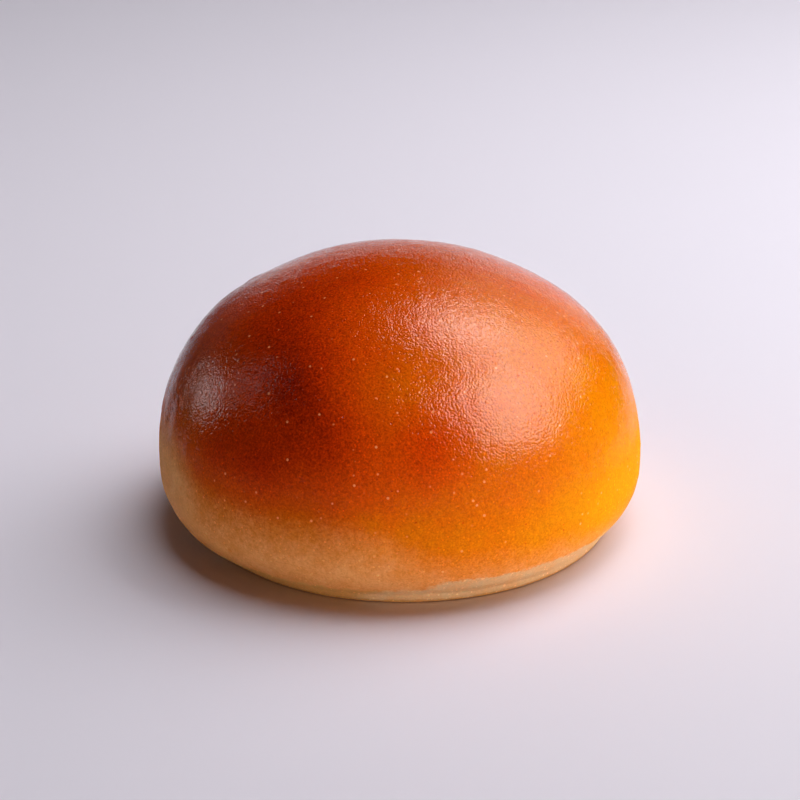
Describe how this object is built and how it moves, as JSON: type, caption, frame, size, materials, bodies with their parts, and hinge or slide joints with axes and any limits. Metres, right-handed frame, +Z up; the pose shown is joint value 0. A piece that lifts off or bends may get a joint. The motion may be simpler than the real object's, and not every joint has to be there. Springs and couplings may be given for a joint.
{
  "type": "hamburger bun",
  "caption": "Round uncut bread bun with a glazed brown dome, a soft golden flank that tucks in to a pale foot, and a flat base to stand on.",
  "frame": {"origin": "middle of the base's bounding box, on the surface that the bun stands on", "axes": "+Z up through the crown, -Y towards the front that the picture shows, +X to the right of it"},
  "size_m": [0.1042, 0.1036, 0.0584],
  "materials": {
    "crust": "egg-glazed crust, glossy on the dome and dull on the foot and base"
  },
  "bodies": {
    "root": {"bun": "crust"}
  },
  "joints": []
}
